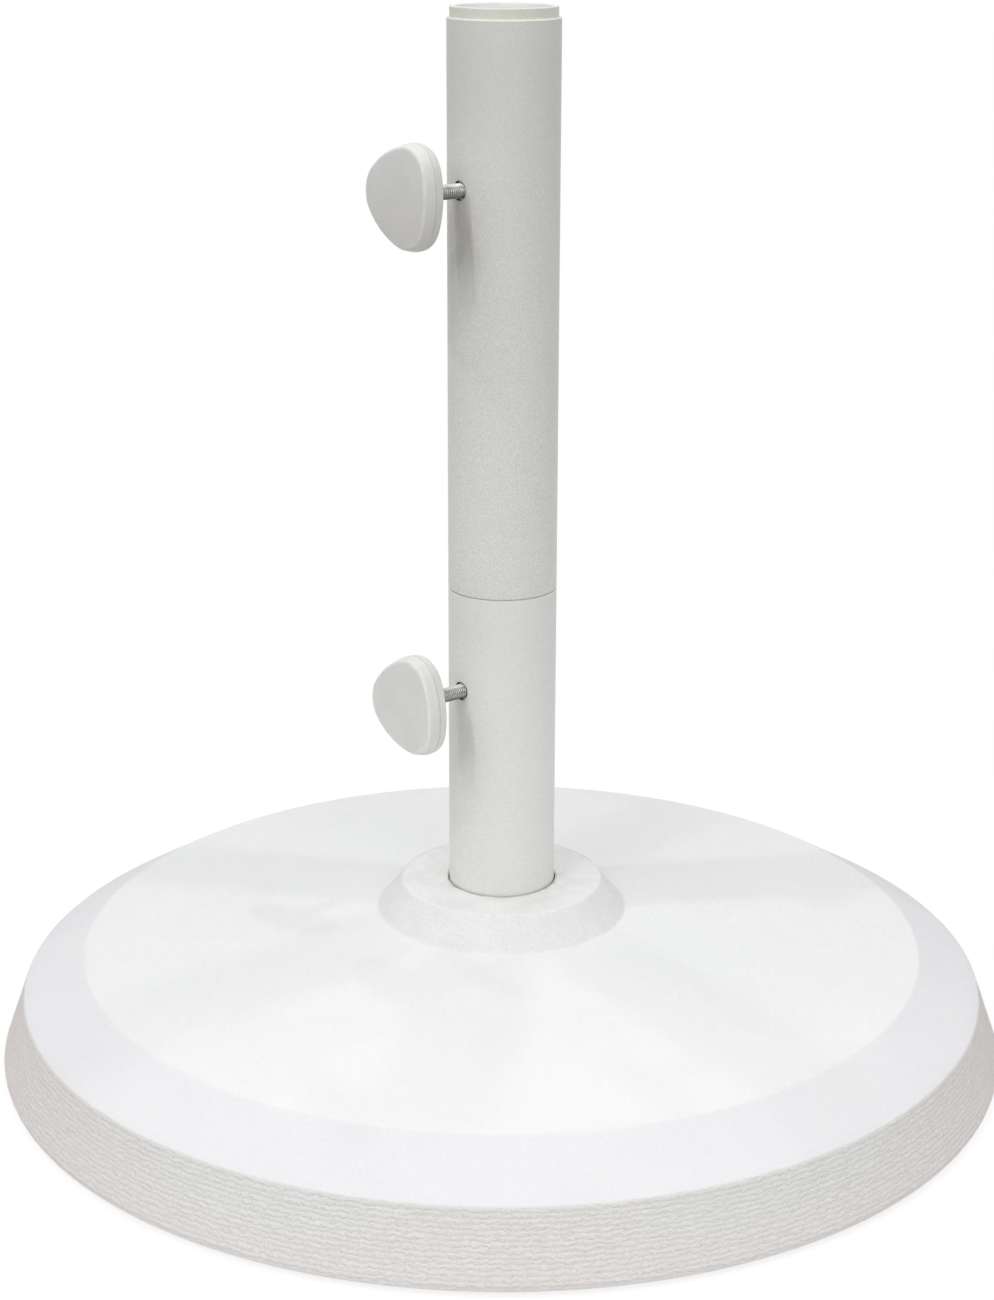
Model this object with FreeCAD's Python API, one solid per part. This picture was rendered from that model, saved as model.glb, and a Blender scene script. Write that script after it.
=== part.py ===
"""Parasol base: a cast concrete plate with a two-length steel tube and two clamp knobs.

Millimetres, +Z up. The origin is on the floor below the tube's axis, and the
lower knob points along -Y.
"""
import os
from math import cos, degrees, radians, sin, sqrt, tan

import FreeCAD
import Part

os.makedirs("parts", exist_ok=True)

UP = FreeCAD.Vector(0, 0, 1)
CENTRE = FreeCAD.Vector(0, 0, 0)

# ---------------------------------------------------------------- tube and pole
tube_outer_d = 60.0
tube_wall = 1.5
tube_edge_break = 0.6
guide_wall = 4.0
seam_z = 272.0
tube_top_z = 578.0

# ------------------------------------------------------------------ cast plate
pad_proud = 2.0
foot_r = 288.5
foot_edge_r = 4.0
rim_r = 274.0
rim_z = 42.0
rim_edge_r = 3.0
dome_r = 239.0
dome_z = 62.0
dome_edge_r = 3.0
collar_foot_r = 71.5
collar_foot_z = 80.0
collar_foot_fillet = 3.0
collar_top_r = 57.0
collar_top_z = 98.0
collar_edge_r = 1.2
socket_mouth_gap = 1.0
socket_floor_gap = 0.3
socket_mouth_break = 1.0
socket_floor_z = 36.0
relief_r = 236.0
relief_depth = 5.0
relief_draft = 4.0
relief_corner_r = 4.0
relief_edge_r = 1.0
recess_r = 34.0
recess_z = 18.0
recess_draft = 2.0
recess_corner_r = 2.0

# -------------------------------------------------------------------- foot pads
pad_count = 4
pad_ring_r = 258.0
pad_r = 16.0
pad_pocket_depth = 4.0
pad_pocket_gap = 0.3
pad_edge_r = 1.2

# ------------------------------------------------------------------- tube anchor
anchor_d = 12.0
anchor_hole_gap = 1.0
anchor_thread_gap = 0.05
anchor_head_flats = 19.0
anchor_head_h = 7.5
anchor_length = 40.0
plate_washer_r = 25.0
plate_washer_t = 3.0
spring_washer_r = 10.5
spring_washer_t = 2.5
spring_washer_gap = 0.2
spring_washer_split = 2.0
end_plate_t = 6.0
end_plate_weld_chamfer = 1.5
anchor_nut_flats = 19.0
anchor_nut_h = 10.0
bolt_tip_chamfer = 1.0
hex_chamfer_angle = 30.0

# --------------------------------------------------------------------- pole rest
rest_top_z = 60.0
rest_plate_t = 4.0
rest_skirt_t = 3.0
rest_wall_gap = 0.3
rest_edge_r = 1.5
rest_drain_r = 3.0
rest_drain_ring_r = 16.0
rest_drain_count = 3

# ------------------------------------------------------------------ joint sleeve
sleeve_running_gap = 0.08
sleeve_flange_t = 1.0
sleeve_flange_inset = 0.3
sleeve_below_seam = 40.0
sleeve_above_seam = 60.0
sleeve_lead_in = 2.0

# ---------------------------------------------------------------------- top bush
bush_proud = 5.7
bush_inside = 36.0
bush_lead_in_w = 1.2
bush_lead_in_h = 9.0
bush_edge_r = 0.8

# ------------------------------------------------------------------- clamp screw
thread_d = 8.0
thread_gap = 0.05
clamp_hole_gap = 1.25
clamp_below_seam = 55.7
clamp_below_top = 87.0
upper_clamp_turn = -1.0
lower_knob_rear = 29.0
upper_knob_rear = 28.4
saddle_width = 20.0
saddle_height = 22.0
saddle_bore_gap = 0.1
saddle_edge_r = 2.0
stud_below_knob = 31.8
stud_tip_chamfer = 0.6
head_flats = 13.0
head_h = 5.3
swivel_pad_r = 3.1
swivel_pad_t = 2.0
swivel_pad_edge_r = 0.5
swivel_pin_r = 1.5
swivel_pin_gap = 0.05
swivel_pin_length = 1.4
swivel_pin_end_gap = 0.1

# -------------------------------------------------------------------- clamp knob
knob_lobes = 3
knob_corner_reach = 29.3
knob_side_reach = 25.2
knob_corner_r = 18.0
knob_depth = 13.0
knob_dome_rise = 1.2
knob_front_edge_r = 1.8
knob_rear_edge_r = 2.6
knob_parting = 5.7
knob_parting_chamfer = 0.35
knob_front_draft = 14.0
knob_rear_draft = 5.0
knob_wall = 2.6
knob_inner_corner_r = 1.2
knob_floor_t = 3.0
knob_lip_gap = 0.15
knob_lip_t = 1.6
knob_lip_h = 2.2
knob_lip_joint = 0.5
knob_boss_wall = 2.8
knob_pocket_gap = 0.1
knob_pillar_r = 4.0
knob_rib_t = 1.6
lower_knob_spin = 67.0
upper_knob_spin = 56.0

# ------------------------------------------------------------------ derived sizes
tube_outer_r = tube_outer_d / 2
tube_inner_r = tube_outer_r - tube_wall
pole_bore_r = tube_inner_r - guide_wall
thread_r = thread_d / 2
anchor_r = anchor_d / 2
lower_tube_top_z = seam_z - sleeve_flange_t
lower_clamp_z = seam_z - clamp_below_seam
upper_clamp_z = tube_top_z - clamp_below_top
end_plate_top_z = socket_floor_z + end_plate_t


def rounded_face(corners):
    """Closed face in the XZ plane through corners given as (x, z, corner radius)."""
    points = [FreeCAD.Vector(x, 0, z) for x, z, _ in corners]
    count = len(corners)
    edges = []
    ends = []
    for i, (_, _, radius) in enumerate(corners):
        point = points[i]
        back = (points[i - 1] - point).normalize()
        ahead = (points[(i + 1) % count] - point).normalize()
        if radius:
            half = back.getAngle(ahead) / 2
            reach = radius / tan(half)
            middle = point + (back + ahead).normalize() * (radius / sin(half) - radius)
            start, end = point + back * reach, point + ahead * reach
            edges.append(Part.Arc(start, middle, end).toShape())
            ends.append((start, end))
        else:
            ends.append((point, point))
    for i in range(count):
        edges.append(Part.makeLine(ends[i][1], ends[(i + 1) % count][0]))
    return Part.Face(Part.Wire(Part.__sortEdges__(edges)))


def turned(corners):
    """Solid of revolution about the Z axis from a rounded profile."""
    return rounded_face(corners).revolve(CENTRE, UP, 360)


def cylinder(radius, low, high):
    return Part.makeCylinder(radius, high - low, FreeCAD.Vector(0, 0, low))


def ring(inner, outer, low, high):
    return cylinder(outer, low, high).cut(cylinder(inner, low, high))


def hexagon(flats, low, high):
    """Hexagonal prism, with its flats the stated distance apart."""
    corner = flats / sqrt(3)
    points = [
        FreeCAD.Vector(corner * cos(radians(60 * k)), corner * sin(radians(60 * k)), low)
        for k in range(7)
    ]
    return Part.Face(Part.makePolygon(points)).extrude(UP * (high - low))


def hex_form(flats, low, high, chamfer_low, chamfer_high):
    """Hexagonal prism whose corners are turned down to the flats at either end."""
    inner = flats / 2
    outer = flats
    drop = (outer - inner) * tan(radians(hex_chamfer_angle))
    corners = [(0, low, 0)]
    if chamfer_low:
        corners += [(inner, low, 0), (outer, low + drop, 0)]
    else:
        corners += [(outer, low, 0)]
    if chamfer_high:
        corners += [(outer, high - drop, 0), (inner, high, 0)]
    else:
        corners += [(outer, high, 0)]
    corners += [(0, high, 0)]
    return hexagon(flats, low, high).common(turned(corners))


def around(shape, count, first=0.0):
    """Equal copies of a shape, spaced evenly about the Z axis."""
    copies = []
    for k in range(count):
        copy = shape.copy()
        copy.rotate(CENTRE, UP, first + 360 * k / count)
        copies.append(copy)
    return copies


def on_clamp_axis(shape, height, turn):
    """Lays a shape built along +Z, from the tube's axis, out along a clamp's own axis."""
    placed = shape.copy()
    placed.rotate(CENTRE, FreeCAD.Vector(1, 0, 0), 90)
    placed.rotate(CENTRE, UP, turn)
    placed.translate(FreeCAD.Vector(0, 0, height))
    return placed


# ---------------------------------------------------------------------- the plate
def pad_positions():
    step = 360 / pad_count
    angles = [radians(step * (k + 0.5)) for k in range(pad_count)]
    return [FreeCAD.Vector(pad_ring_r * cos(a), pad_ring_r * sin(a), 0) for a in angles]


def concrete_base():
    """Cast plate with its collar, tube socket, bolt hole and relieved underside."""
    socket_r = tube_outer_r + socket_floor_gap
    mouth_r = tube_outer_r + socket_mouth_gap
    bolt_hole_r = anchor_r + anchor_hole_gap
    relief_z = pad_proud + relief_depth
    body = turned([
        (bolt_hole_r, recess_z, 0),
        (recess_r - recess_draft, recess_z, recess_corner_r),
        (recess_r, relief_z, relief_edge_r),
        (relief_r - relief_draft, relief_z, relief_corner_r),
        (relief_r, pad_proud, relief_edge_r),
        (foot_r, pad_proud, foot_edge_r),
        (rim_r, rim_z, rim_edge_r),
        (dome_r, dome_z, dome_edge_r),
        (collar_foot_r, collar_foot_z, collar_foot_fillet),
        (collar_top_r, collar_top_z, collar_edge_r),
        (mouth_r, collar_top_z, socket_mouth_break),
        (socket_r, socket_floor_z, 0),
        (bolt_hole_r, socket_floor_z, 0),
    ])
    pocket = cylinder(pad_r + pad_pocket_gap, pad_proud, pad_proud + pad_pocket_depth)
    pockets = [pocket.translated(place) for place in pad_positions()]
    return body.cut(Part.Compound(pockets))


def foot_pads():
    """Rubber pads glued into pockets under the rim."""
    pad = turned([
        (0, 0, 0),
        (pad_r, 0, pad_edge_r),
        (pad_r, pad_proud + pad_pocket_depth, 0),
        (0, pad_proud + pad_pocket_depth, 0),
    ])
    return Part.Compound([pad.translated(place) for place in pad_positions()])


# ----------------------------------------------------------------- the lower tube
def tube(low, high, clamp_z, turn):
    """Tube length with broken ends and the clearance hole for its clamp screw."""
    wall = turned([
        (tube_inner_r, low, tube_edge_break),
        (tube_outer_r, low, tube_edge_break),
        (tube_outer_r, high, tube_edge_break),
        (tube_inner_r, high, tube_edge_break),
    ])
    hole = on_clamp_axis(cylinder(thread_r + clamp_hole_gap, 0, tube_outer_d), clamp_z, turn)
    return wall.cut(hole)


def tube_end_plate():
    """Disc welded into the lower tube's foot."""
    return turned([
        (anchor_r + anchor_hole_gap, socket_floor_z, 0),
        (tube_inner_r - end_plate_weld_chamfer, socket_floor_z, 0),
        (tube_inner_r, socket_floor_z + end_plate_weld_chamfer, 0),
        (tube_inner_r, end_plate_top_z, 0),
        (anchor_r + anchor_hole_gap, end_plate_top_z, 0),
    ])


def anchor_nut():
    """Nut welded on the end plate, which the anchor bolt screws into."""
    top = end_plate_top_z + anchor_nut_h
    blank = hex_form(anchor_nut_flats, end_plate_top_z, top, False, True)
    return blank.cut(cylinder(anchor_r + anchor_thread_gap, end_plate_top_z, top))


def anchor_stack():
    """Heights under the concrete web: plate washer, spring washer and bolt head."""
    plate_low = recess_z - plate_washer_t
    spring_low = plate_low - spring_washer_t
    return plate_low, spring_low


def anchor_washer():
    plate_low, _ = anchor_stack()
    return ring(anchor_r + anchor_hole_gap, plate_washer_r, plate_low, recess_z)


def anchor_spring_washer():
    """Split lock washer, closed flat by the tightened bolt."""
    plate_low, spring_low = anchor_stack()
    blank = ring(anchor_r + spring_washer_gap, spring_washer_r, spring_low, plate_low)
    split = Part.makeBox(
        spring_washer_r, spring_washer_split, spring_washer_t,
        FreeCAD.Vector(0, -spring_washer_split / 2, spring_low),
    )
    return blank.cut(split)


def anchor_bolt():
    _, seat = anchor_stack()
    head = hex_form(anchor_head_flats, seat - anchor_head_h, seat, True, False)
    tip = seat + anchor_length
    shank = turned([
        (0, seat - anchor_head_h / 2, 0),
        (anchor_r, seat - anchor_head_h / 2, 0),
        (anchor_r, tip - bolt_tip_chamfer, 0),
        (anchor_r - bolt_tip_chamfer, tip, 0),
        (0, tip, 0),
    ])
    return head.fuse(shank).removeSplitter()


def pole_rest():
    """Plastic cup over the anchor nut, which the pole stands on."""
    outer = tube_inner_r - rest_wall_gap
    cup = turned([
        (0, rest_top_z - rest_plate_t, 0),
        (outer - rest_skirt_t, rest_top_z - rest_plate_t, rest_edge_r),
        (outer - rest_skirt_t, end_plate_top_z, 0),
        (outer, end_plate_top_z, 0),
        (outer, rest_top_z, rest_edge_r),
        (0, rest_top_z, 0),
    ])
    drain = cylinder(rest_drain_r, rest_top_z - rest_plate_t, rest_top_z)
    drain.translate(FreeCAD.Vector(rest_drain_ring_r, 0, 0))
    return cup.cut(Part.Compound(around(drain, rest_drain_count)))


# --------------------------------------------------------------- guides for the pole
def joint_sleeve():
    """Plastic sleeve that joins the two tube lengths, with a thin flange in the seam."""
    outer = tube_inner_r - sleeve_running_gap
    flange = tube_outer_r - sleeve_flange_inset
    low = seam_z - sleeve_below_seam
    high = seam_z + sleeve_above_seam
    return turned([
        (pole_bore_r, low, 0),
        (outer - sleeve_lead_in / 2, low, 0),
        (outer, low + sleeve_lead_in, 0),
        (outer, lower_tube_top_z, 0),
        (flange, lower_tube_top_z, 0),
        (flange, seam_z, 0),
        (outer, seam_z, 0),
        (outer, high - sleeve_lead_in, 0),
        (outer - sleeve_lead_in / 2, high, 0),
        (pole_bore_r + sleeve_lead_in / 2, high, 0),
        (pole_bore_r, high - sleeve_lead_in, 0),
    ])


def top_bush():
    """Plastic guide pressed into the upper tube, standing proud with a flared mouth."""
    high = tube_top_z + bush_proud
    low = tube_top_z - bush_inside
    return turned([
        (pole_bore_r, low, 0),
        (tube_inner_r, low, bush_edge_r),
        (tube_inner_r, high, bush_edge_r),
        (pole_bore_r + bush_lead_in_w, high, bush_edge_r),
        (pole_bore_r, high - bush_lead_in_h, 0),
    ])


# --------------------------------------------------------------------- clamp screws
def clamp_nut(height, turn):
    """Saddle nut welded to the inside of the tube wall, clear of the pole."""
    face = pole_bore_r + saddle_bore_gap
    depth = tube_inner_r - face
    block = Part.makeBox(
        saddle_width, saddle_height, depth,
        FreeCAD.Vector(-saddle_width / 2, -saddle_height / 2, face),
    )
    corners = [edge for edge in block.Edges if edge.BoundBox.ZLength > depth / 2]
    block = block.makeFillet(saddle_edge_r, corners)
    saddle = on_clamp_axis(block, height, turn)
    saddle = saddle.common(cylinder(tube_inner_r, height - saddle_height, height + saddle_height))
    return saddle.cut(on_clamp_axis(cylinder(thread_r + thread_gap, 0, tube_outer_r), height, turn))


def stud_tip(rear):
    """Distance of the stud's shoulder from the tube's axis."""
    return tube_outer_r + rear - stud_below_knob


def clamp_stud(rear, spin):
    """Hexagon screw held in the knob, with a pin at its tip for the swivel pad."""
    shoulder = stud_tip(rear)
    seat = tube_outer_r + rear + knob_floor_t
    head = hex_form(head_flats, seat, seat + head_h, False, True)
    head.rotate(CENTRE, UP, spin)
    shank = turned([
        (0, shoulder - swivel_pin_length, 0),
        (swivel_pin_r, shoulder - swivel_pin_length, 0),
        (swivel_pin_r, shoulder, 0),
        (thread_r - stud_tip_chamfer, shoulder, 0),
        (thread_r, shoulder + stud_tip_chamfer, 0),
        (thread_r, seat + head_h / 2, 0),
        (0, seat + head_h / 2, 0),
    ])
    return head.fuse(shank).removeSplitter()


def thrust_pad(rear):
    """Small swivel pad that stays still on the pole while the screw turns."""
    shoulder = stud_tip(rear)
    pin_room = swivel_pin_length + swivel_pin_end_gap
    return turned([
        (0, shoulder - swivel_pad_t, 0),
        (swivel_pad_r, shoulder - swivel_pad_t, swivel_pad_edge_r),
        (swivel_pad_r, shoulder, 0),
        (swivel_pin_r + swivel_pin_gap, shoulder, 0),
        (swivel_pin_r + swivel_pin_gap, shoulder - pin_room, 0),
        (0, shoulder - pin_room, 0),
    ])


# ---------------------------------------------------------------------- clamp knobs
def polar(radius, angle, centre=CENTRE):
    turn = radians(angle)
    return centre + FreeCAD.Vector(radius * cos(turn), radius * sin(turn), 0)


def knob_outline(inset, height):
    """Rounded triangle: corner arcs and full side arcs in turn, all tangent."""
    lobe = 360 / knob_lobes
    corner_r = knob_corner_r - inset
    corner_centre = knob_corner_reach - knob_corner_r
    side_step = knob_side_reach - knob_corner_r
    side_centre = (corner_centre ** 2 - side_step ** 2) / (2 * side_step - corner_centre)
    side_r = knob_side_reach + side_centre - inset
    from_side = polar(corner_centre, 0) - polar(side_centre, lobe / 2 + 180)
    swing = degrees(from_side.getAngle(FreeCAD.Vector(1, 0, 0)))
    reach = lobe / 2 - swing
    edges = []
    for k in range(knob_lobes):
        corner = k * lobe
        centre = polar(corner_centre, corner)
        edges.append(Part.Arc(polar(corner_r, corner - swing, centre),
                              polar(corner_r, corner, centre),
                              polar(corner_r, corner + swing, centre)).toShape())
        side = corner + lobe / 2
        centre = polar(side_centre, side + 180)
        edges.append(Part.Arc(polar(side_r, side - reach, centre),
                              polar(side_r, side, centre),
                              polar(side_r, side + reach, centre)).toShape())
    outline = Part.Wire(edges)
    outline.translate(UP * height)
    return outline


def knob_section(inset, height):
    """Outline of the knob at a height, drawn in by the mould's draft on either half."""
    draft = knob_front_draft if height > knob_parting else knob_rear_draft
    return knob_outline(inset + abs(height - knob_parting) * tan(radians(draft)), height)


def drafted(inset, low, high):
    """Solid between two heights on either side of the parting line."""
    heights = (low, knob_parting, high)
    return Part.makeLoft([knob_section(inset, height) for height in heights], True, True)


def knob_form(inset, low, front_r, rear_r):
    """Domed and drafted rounded triangle with softened front and rear edges."""
    apex = knob_depth - inset
    dome_ball = (knob_corner_reach ** 2 + knob_dome_rise ** 2) / (2 * knob_dome_rise)
    ball = Part.makeSphere(dome_ball, FreeCAD.Vector(0, 0, apex - dome_ball))
    form = drafted(inset, low, knob_depth + knob_dome_rise).common(ball)
    middle = (knob_parting + apex) / 2
    front = [edge for edge in form.Edges if edge.BoundBox.ZMin > middle
             and edge.BoundBox.ZLength < knob_dome_rise]
    form = form.makeFillet(front_r, front)
    if rear_r:
        rear = [edge for edge in form.Edges if edge.BoundBox.ZMax < low + rear_r]
        form = form.makeFillet(rear_r, rear)
    return form


def slab(low, high):
    reach = 2 * knob_corner_reach
    return Part.makeBox(2 * reach, 2 * reach, high - low, FreeCAD.Vector(-reach, -reach, low))


def parting_groove():
    """V-shaped ring that breaks both outer edges at the parting line."""
    low = knob_parting - knob_parting_chamfer
    high = knob_parting + knob_parting_chamfer
    root = knob_outline(knob_parting_chamfer, knob_parting)
    band = Part.Face(knob_outline(-knob_parting_chamfer, low)).extrude(UP * (high - low))
    below = Part.makeLoft([knob_section(0, low), root], True)
    above = Part.makeLoft([root, knob_section(0, high)], True)
    return band.cut(below).cut(above)


def outline_prism(inset, low, high):
    return Part.Face(knob_outline(inset, low)).extrude(UP * (high - low))


def knob_body(groove):
    """Rear shell with the hexagon pocket for the screw head and its ribs."""
    shell = knob_form(0, 0, knob_front_edge_r, knob_rear_edge_r).common(slab(0, knob_parting))
    hollow = outline_prism(knob_wall, knob_floor_t, knob_depth)
    boss_r = head_flats / sqrt(3) + knob_pocket_gap + knob_boss_wall
    boss_top = knob_floor_t + head_h
    boss = cylinder(boss_r, knob_floor_t, boss_top)
    rib = Part.makeBox(
        knob_corner_reach, knob_rib_t, knob_parting - knob_floor_t,
        FreeCAD.Vector(0, -knob_rib_t / 2, knob_floor_t),
    )
    lip_inset = knob_wall + 2 * knob_lip_gap + knob_lip_t
    rib_room = outline_prism(lip_inset, knob_floor_t, knob_parting)
    ribs = Part.Compound(around(rib, 2 * knob_lobes)).common(rib_room)
    shell = shell.cut(hollow).fuse(boss).fuse(ribs.Solids)
    pocket = hexagon(head_flats + 2 * knob_pocket_gap, knob_floor_t, boss_top)
    shell = shell.cut(pocket).cut(cylinder(thread_r, 0, knob_floor_t))
    return shell.cut(groove).removeSplitter()


def knob_cap(groove):
    """Domed front cover with the lip that snaps inside the rear shell."""
    shell = knob_form(0, 0, knob_front_edge_r, knob_rear_edge_r).common(slab(knob_parting, knob_depth))
    shell = shell.cut(knob_form(knob_wall, knob_floor_t, knob_inner_corner_r, 0))
    lip_low = knob_parting - knob_lip_h
    lip_high = knob_parting + knob_lip_t
    lip_outer = outline_prism(knob_wall + knob_lip_gap, lip_low, lip_high)
    lip_inner = outline_prism(knob_wall + knob_lip_gap + knob_lip_t, lip_low, lip_high)
    joint = outline_prism(knob_wall - knob_lip_joint, knob_parting, lip_high)
    pillar = cylinder(knob_pillar_r, knob_floor_t + head_h, knob_depth - knob_wall / 2)
    shell = shell.fuse([lip_outer.cut(lip_inner), joint.cut(lip_inner), pillar])
    return shell.cut(groove).removeSplitter()


def on_knob(shape, rear, spin):
    """Moves a knob piece out to its rear face and turns it on the screw's axis."""
    placed = shape.copy()
    placed.rotate(CENTRE, UP, spin)
    placed.translate(FreeCAD.Vector(0, 0, tube_outer_r + rear))
    return placed


def clamp(side, height, turn, rear, spin, knob_shapes):
    """One clamp: saddle nut, screw, swivel pad and two-piece knob."""
    body, cap = knob_shapes
    return {
        side + "_clamp_nut": clamp_nut(height, turn),
        side + "_clamp_stud": on_clamp_axis(clamp_stud(rear, spin), height, turn),
        side + "_thrust_pad": on_clamp_axis(thrust_pad(rear), height, turn),
        side + "_knob_body": on_clamp_axis(on_knob(body, rear, spin), height, turn),
        side + "_knob_cap": on_clamp_axis(on_knob(cap, rear, spin), height, turn),
    }


groove = parting_groove()
knob_shapes = (knob_body(groove), knob_cap(groove))

nodes = {
    "concrete_base": concrete_base(),
    "foot_pads": foot_pads(),
    "lower_tube": tube(socket_floor_z, lower_tube_top_z, lower_clamp_z, 0),
    "tube_end_plate": tube_end_plate(),
    "anchor_nut": anchor_nut(),
    "anchor_washer": anchor_washer(),
    "anchor_spring_washer": anchor_spring_washer(),
    "anchor_bolt": anchor_bolt(),
    "pole_rest": pole_rest(),
    "joint_sleeve": joint_sleeve(),
    "upper_tube": tube(seam_z, tube_top_z, upper_clamp_z, upper_clamp_turn),
    "top_bush": top_bush(),
}
nodes.update(clamp("lower", lower_clamp_z, 0, lower_knob_rear, lower_knob_spin, knob_shapes))
nodes.update(clamp("upper", upper_clamp_z, upper_clamp_turn, upper_knob_rear, upper_knob_spin,
                   knob_shapes))

for name, shape in nodes.items():
    solids = Part.Compound(shape.Solids) if len(shape.Solids) > 1 else shape.Solids[0]
    solids.exportStep("parts/" + name + ".step")
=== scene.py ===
import math

import bmesh
import bpy
import numpy as np
from mathutils import Matrix, Vector, noise


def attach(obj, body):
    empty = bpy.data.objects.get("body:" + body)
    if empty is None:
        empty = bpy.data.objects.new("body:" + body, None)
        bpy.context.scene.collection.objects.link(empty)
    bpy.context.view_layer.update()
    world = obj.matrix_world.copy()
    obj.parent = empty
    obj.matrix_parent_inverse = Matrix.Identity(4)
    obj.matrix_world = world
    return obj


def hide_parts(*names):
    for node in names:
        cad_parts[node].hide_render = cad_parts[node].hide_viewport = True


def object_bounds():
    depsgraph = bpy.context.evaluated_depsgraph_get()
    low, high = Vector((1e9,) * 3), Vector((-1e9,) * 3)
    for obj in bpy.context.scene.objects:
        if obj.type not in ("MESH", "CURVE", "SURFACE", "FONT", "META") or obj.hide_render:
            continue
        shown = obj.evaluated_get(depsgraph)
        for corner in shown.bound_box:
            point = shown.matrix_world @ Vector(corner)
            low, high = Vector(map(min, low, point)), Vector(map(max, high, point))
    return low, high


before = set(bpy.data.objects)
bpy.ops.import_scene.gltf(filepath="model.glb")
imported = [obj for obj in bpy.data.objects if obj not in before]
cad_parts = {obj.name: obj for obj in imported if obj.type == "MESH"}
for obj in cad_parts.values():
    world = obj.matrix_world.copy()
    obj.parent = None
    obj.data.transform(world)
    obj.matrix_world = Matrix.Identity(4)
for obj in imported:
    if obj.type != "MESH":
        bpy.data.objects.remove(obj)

cad_low, cad_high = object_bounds()
scene = bpy.context.scene
scene.view_settings.view_transform = "Standard"

# ------------------------------------------------------------------- camera and studio
# The base stands on a plain white floor, seen from a little above its top by a long lens.
# Two small keys on the knobs' side and small ceiling lamps all round cast faint crossed
# shadows. Two wide fills in front and a pale surround light the rest.
camera_azimuth = math.radians(49.8)
camera_distance = 1.326
camera_height = 0.6585
camera_tilt = math.radians(17.75)
camera_swing = math.radians(0.127)
camera_roll = math.radians(0.14)
camera_lens = 68.95

ahead = Vector((-math.sin(camera_azimuth), math.cos(camera_azimuth), 0))
aside = Vector((math.cos(camera_azimuth), math.sin(camera_azimuth), 0))
camera_place = -camera_distance * ahead + Vector((0, 0, camera_height))
swung = math.cos(camera_swing) * ahead - math.sin(camera_swing) * aside
looking = math.cos(camera_tilt) * swung - Vector((0, 0, math.sin(camera_tilt)))
right = looking.cross(Vector((0, 0, 1))).normalized()
above = right.cross(looking)
facing = Matrix((right, above, -looking)).transposed()
facing = facing @ Matrix.Rotation(camera_roll, 3, "Z")

camera = bpy.data.objects.new("camera", bpy.data.cameras.new("camera"))
camera.data.lens = camera_lens
camera.data.clip_start = 0.05
camera.matrix_world = Matrix.Translation(camera_place) @ facing.to_4x4()
scene.collection.objects.link(camera)
scene.camera = camera

lamp_distance = 5.0
object_middle = Vector((0, 0, (cad_low.z + cad_high.z) / 2))
# Azimuth from the knobs' side and elevation in degrees, size in metres, power in watts.
for name, azimuth, elevation, size, power in (
        ("low_key_lamp", 27, 27, 0.20, 8), ("high_key_lamp", 18, 51, 0.12, 12),
        ("front_left_fill", 14, 38, 3.5, 35),
        ("left_lamp", -17, 60, 0.15, 20), ("back_left_lamp", -89, 66, 0.20, 14),
        ("back_lamp", -138, 69, 0.20, 13), ("back_right_lamp", 171, 67, 0.20, 13),
        ("right_lamp", 114, 61, 0.20, 18), ("front_fill", 69, 22, 2.0, 38)):
    lamp = bpy.data.objects.new(name, bpy.data.lights.new(name, "AREA"))
    lamp.data.size = size
    lamp.data.energy = power
    turn, rise = math.radians(azimuth), math.radians(elevation)
    towards = Vector((math.sin(turn) * math.cos(rise), -math.cos(turn) * math.cos(rise), math.sin(rise)))
    lamp.location = object_middle + towards * lamp_distance
    lamp.rotation_euler = towards.to_track_quat("Z", "Y").to_euler()
    scene.collection.objects.link(lamp)


def node_adder(tree):
    """Function that adds a node to a tree, with its settings by name and each input given
    as a value or as the socket that feeds it."""
    def add(kind, wires=None, **settings):
        node = tree.nodes.new(kind)
        for key, value in settings.items():
            setattr(node, key, value)
        for socket, value in (wires or {}).items():
            if isinstance(value, bpy.types.NodeSocket):
                tree.links.new(value, node.inputs[socket])
            else:
                node.inputs[socket].default_value = value
        return node

    return add


def new_material(name):
    """Empty material, and the function that adds nodes to it."""
    material = bpy.data.materials.new(name)
    material.use_nodes = True
    material.node_tree.nodes.clear()
    return material, node_adder(material.node_tree)


def seen_directly(add):
    """1 for camera, glossy and transmission rays, 0 for light that falls on the object."""
    path = add("ShaderNodeLightPath")
    first = add("ShaderNodeMath", {0: path.outputs["Is Camera Ray"], 1: path.outputs["Is Glossy Ray"]},
                operation="MAXIMUM")
    return add("ShaderNodeMath", {0: first.outputs[0], 1: path.outputs["Is Transmission Ray"]},
               operation="MAXIMUM").outputs[0]


plain_white = (1, 1, 1, 1)
surround_light = 0.52
world = bpy.data.worlds.new("surround")
world.use_nodes = True
world.node_tree.nodes.clear()
scene.world = world
add = node_adder(world.node_tree)
strength = add("ShaderNodeMapRange", {"Value": seen_directly(add), "To Min": surround_light, "To Max": 1.0})
glow = add("ShaderNodeBackground", {"Color": plain_white, "Strength": strength.outputs[0]})
add("ShaderNodeOutputWorld", {"Surface": glow.outputs[0]})

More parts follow.
